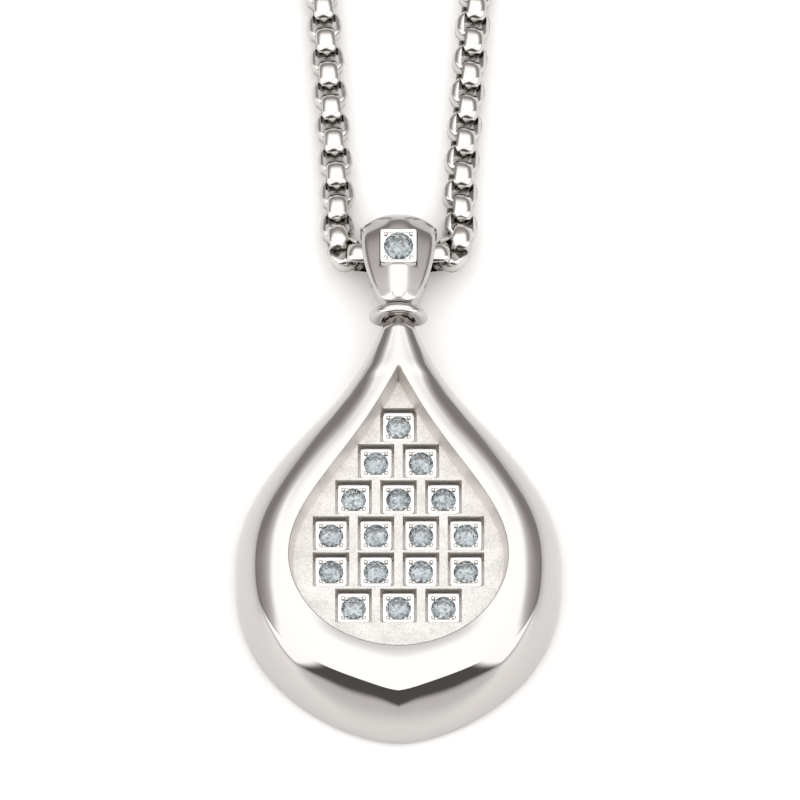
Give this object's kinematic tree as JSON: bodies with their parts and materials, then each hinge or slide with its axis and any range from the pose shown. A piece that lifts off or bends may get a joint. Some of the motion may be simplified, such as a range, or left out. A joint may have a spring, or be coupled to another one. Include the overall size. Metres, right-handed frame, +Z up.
{
  "type": "teardrop pendant on a chain",
  "caption": "Lying necklace: a polished steel teardrop pendant with a sunk matt field of small round clear stones in square settings, a stone-set bail and a round box chain.",
  "frame": {"origin": "on the surface it lies on, under the middle of the whole necklace's box", "axes": "+Z up off the surface and out of the pendant's face, +Y from the pendant to the clasp, +X to the right seen from the face"},
  "size_m": [0.125, 0.2374, 0.007],
  "materials": {
    "polished_steel": "mirror-polished stainless steel",
    "matt_steel": "sandblasted, silvery white",
    "setting_steel": "bright-cut polished steel",
    "chain_steel": "tumble-polished steel wire strip",
    "clear_stone": "cut and polished clear stone"
  },
  "bodies": {
    "root": {"drop_frame": "polished_steel", "field_plate": "matt_steel", "collar_ring": "polished_steel", "bail": "polished_steel", "bail_setting": "setting_steel", "bail_stone": "clear_stone", "chain": "chain_steel", "clasp": "polished_steel", "setting_01": "setting_steel", "setting_02": "setting_steel", "setting_03": "setting_steel", "setting_04": "setting_steel", "setting_05": "setting_steel", "setting_06": "setting_steel", "setting_07": "setting_steel", "setting_08": "setting_steel", "setting_09": "setting_steel", "setting_10": "setting_steel", "setting_11": "setting_steel", "setting_12": "setting_steel", "setting_13": "setting_steel", "setting_14": "setting_steel", "setting_15": "setting_steel", "setting_16": "setting_steel", "setting_17": "setting_steel", "stone_01": "clear_stone", "stone_02": "clear_stone", "stone_03": "clear_stone", "stone_04": "clear_stone", "stone_05": "clear_stone", "stone_06": "clear_stone", "stone_07": "clear_stone", "stone_08": "clear_stone", "stone_09": "clear_stone", "stone_10": "clear_stone", "stone_11": "clear_stone", "stone_12": "clear_stone", "stone_13": "clear_stone", "stone_14": "clear_stone", "stone_15": "clear_stone", "stone_16": "clear_stone", "stone_17": "clear_stone"}
  },
  "joints": []
}
